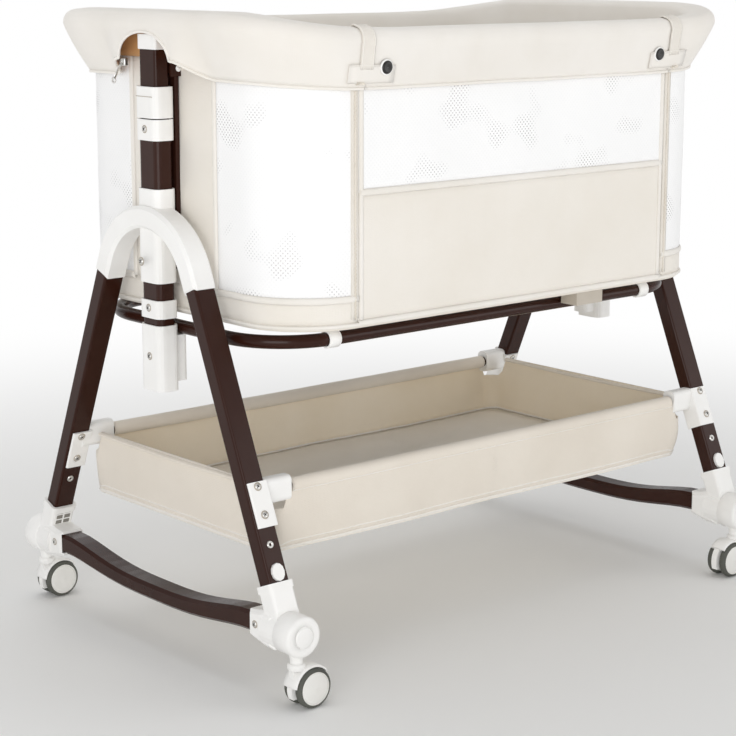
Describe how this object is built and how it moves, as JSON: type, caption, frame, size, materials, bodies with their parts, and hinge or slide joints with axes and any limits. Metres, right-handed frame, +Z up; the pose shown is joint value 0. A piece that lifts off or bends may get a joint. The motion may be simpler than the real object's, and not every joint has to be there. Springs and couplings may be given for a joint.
{
  "type": "bassinet on stand",
  "caption": "Fabric bassinet with a drop-down side on a rocking A-frame stand with arched ends, telescoping posts, flip-up casters and a hanging storage basket.",
  "frame": {"origin": "on the floor, under the middle of the stand", "axes": "+X along the length from the left post to the right post, -Y towards the side that drops, +Z up"},
  "size_m": [0.871, 0.5976, 0.806],
  "materials": {
    "tube": "semi-gloss dark brown powder coat",
    "white_plastic": "satin white",
    "tyre": "matt dark grey",
    "cream_fabric": "padded woven cream",
    "basket_fabric": "woven beige",
    "board": "cloth-covered board",
    "grey_plastic": "satin warm grey"
  },
  "bodies": {
    "stand": {"arch_left": "white_plastic", "outer_post_left": "tube", "sleeve_collar_left": "white_plastic", "ring_clamp_left": "white_plastic", "post_end_cap_left": "white_plastic", "rocker_left": "tube", "arch_right": "white_plastic", "outer_post_right": "tube", "sleeve_collar_right": "white_plastic", "ring_clamp_right": "white_plastic", "post_end_cap_right": "white_plastic", "rocker_right": "tube", "leg_front_left": "tube", "foot_joint_front_left": "white_plastic", "basket_bracket_front_left": "white_plastic", "leg_back_left": "tube", "foot_joint_back_left": "white_plastic", "basket_bracket_back_left": "white_plastic", "leg_front_right": "tube", "foot_joint_front_right": "white_plastic", "basket_bracket_front_right": "white_plastic", "leg_back_right": "tube", "foot_joint_back_right": "white_plastic", "basket_bracket_back_right": "white_plastic", "loop_frame": "tube", "basket_shell": "basket_fabric", "basket_floor": "board", "basket_tube_front": "tube", "basket_tube_back": "tube"},
    "crib": {"inner_post_left": "tube", "inner_post_right": "tube", "post_top_left": "white_plastic", "post_top_right": "white_plastic", "top_frame": "tube", "crib_shell": "cream_fabric", "floor_board": "board", "mattress": "cream_fabric", "rim_cover_fixed": "cream_fabric", "strap_anchor": "grey_plastic"},
    "drop_side": {"drop_rail": "tube", "drop_panel": "cream_fabric", "rim_cover_drop": "cream_fabric"},
    "handle_left": {"release_handle_left": "white_plastic"},
    "handle_right": {"release_handle_right": "white_plastic"},
    "drum_front_left": {"caster_drum_front_left": "white_plastic"},
    "fork_front_left": {"caster_fork_front_left": "white_plastic"},
    "wheels_front_left": {"twin_wheel_front_left": "tyre"},
    "button_front_left": {"leg_button_front_left": "white_plastic"},
    "drum_back_left": {"caster_drum_back_left": "white_plastic"},
    "fork_back_left": {"caster_fork_back_left": "white_plastic"},
    "wheels_back_left": {"twin_wheel_back_left": "tyre"},
    "button_back_left": {"leg_button_back_left": "white_plastic"},
    "drum_front_right": {"caster_drum_front_right": "white_plastic"},
    "fork_front_right": {"caster_fork_front_right": "white_plastic"},
    "wheels_front_right": {"twin_wheel_front_right": "tyre"},
    "button_front_right": {"leg_button_front_right": "white_plastic"},
    "drum_back_right": {"caster_drum_back_right": "white_plastic"},
    "fork_back_right": {"caster_fork_back_right": "white_plastic"},
    "wheels_back_right": {"twin_wheel_back_right": "tyre"},
    "button_back_right": {"leg_button_back_right": "white_plastic"}
  },
  "joints": [
    {"name": "height_slide", "type": "slide", "parent": "stand", "child": "crib", "axis": [0, 0, 1], "range_m": [0, 0.15]},
    {"name": "drop_hinge", "type": "hinge", "parent": "crib", "child": "drop_side", "pos_m": [0, -0.2455, 0.446], "axis": [1, 0, 0], "range_deg": [0, 165]},
    {"name": "release_left", "type": "slide", "parent": "stand", "child": "handle_left", "axis": [0, 0, 1], "range_m": [0, 0.008], "stiffness_N_per_m": 400, "springref_m": -0.004},
    {"name": "release_right", "type": "slide", "parent": "stand", "child": "handle_right", "axis": [0, 0, 1], "range_m": [0, 0.008], "stiffness_N_per_m": 400, "springref_m": -0.004},
    {"name": "flip_front_left", "type": "hinge", "parent": "stand", "child": "drum_front_left", "pos_m": [-0.41, -0.281, 0.093], "axis": [0, -1, 0], "range_deg": [0, 90]},
    {"name": "swivel_front_left", "type": "hinge", "parent": "drum_front_left", "child": "fork_front_left", "pos_m": [-0.41, -0.281, 0.057], "axis": [0, 0, 1], "continuous": true},
    {"name": "roll_front_left", "type": "hinge", "parent": "fork_front_left", "child": "wheels_front_left", "pos_m": [-0.393, -0.281, 0.025], "axis": [0, 1, 0], "continuous": true},
    {"name": "press_front_left", "type": "slide", "parent": "stand", "child": "button_front_left", "axis": [0, 0.9225, -0.3859], "range_m": [0, 0.003], "stiffness_N_per_m": 600, "springref_m": -0.002},
    {"name": "flip_back_left", "type": "hinge", "parent": "stand", "child": "drum_back_left", "pos_m": [-0.41, 0.281, 0.093], "axis": [0, -1, 0], "range_deg": [0, 90]},
    {"name": "swivel_back_left", "type": "hinge", "parent": "drum_back_left", "child": "fork_back_left", "pos_m": [-0.41, 0.281, 0.057], "axis": [0, 0, 1], "continuous": true},
    {"name": "roll_back_left", "type": "hinge", "parent": "fork_back_left", "child": "wheels_back_left", "pos_m": [-0.393, 0.281, 0.025], "axis": [0, 1, 0], "continuous": true},
    {"name": "press_back_left", "type": "slide", "parent": "stand", "child": "button_back_left", "axis": [0, -0.9225, -0.3859], "range_m": [0, 0.003], "stiffness_N_per_m": 600, "springref_m": -0.002},
    {"name": "flip_front_right", "type": "hinge", "parent": "stand", "child": "drum_front_right", "pos_m": [0.41, -0.281, 0.093], "axis": [0, 1, 0], "range_deg": [0, 90]},
    {"name": "swivel_front_right", "type": "hinge", "parent": "drum_front_right", "child": "fork_front_right", "pos_m": [0.41, -0.281, 0.057], "axis": [0, 0, 1], "continuous": true},
    {"name": "roll_front_right", "type": "hinge", "parent": "fork_front_right", "child": "wheels_front_right", "pos_m": [0.393, -0.281, 0.025], "axis": [0, 1, 0], "continuous": true},
    {"name": "press_front_right", "type": "slide", "parent": "stand", "child": "button_front_right", "axis": [0, 0.9225, -0.3859], "range_m": [0, 0.003], "stiffness_N_per_m": 600, "springref_m": -0.002},
    {"name": "flip_back_right", "type": "hinge", "parent": "stand", "child": "drum_back_right", "pos_m": [0.41, 0.281, 0.093], "axis": [0, 1, 0], "range_deg": [0, 90]},
    {"name": "swivel_back_right", "type": "hinge", "parent": "drum_back_right", "child": "fork_back_right", "pos_m": [0.41, 0.281, 0.057], "axis": [0, 0, 1], "continuous": true},
    {"name": "roll_back_right", "type": "hinge", "parent": "fork_back_right", "child": "wheels_back_right", "pos_m": [0.393, 0.281, 0.025], "axis": [0, 1, 0], "continuous": true},
    {"name": "press_back_right", "type": "slide", "parent": "stand", "child": "button_back_right", "axis": [0, -0.9225, -0.3859], "range_m": [0, 0.003], "stiffness_N_per_m": 600, "springref_m": -0.002}
  ]
}
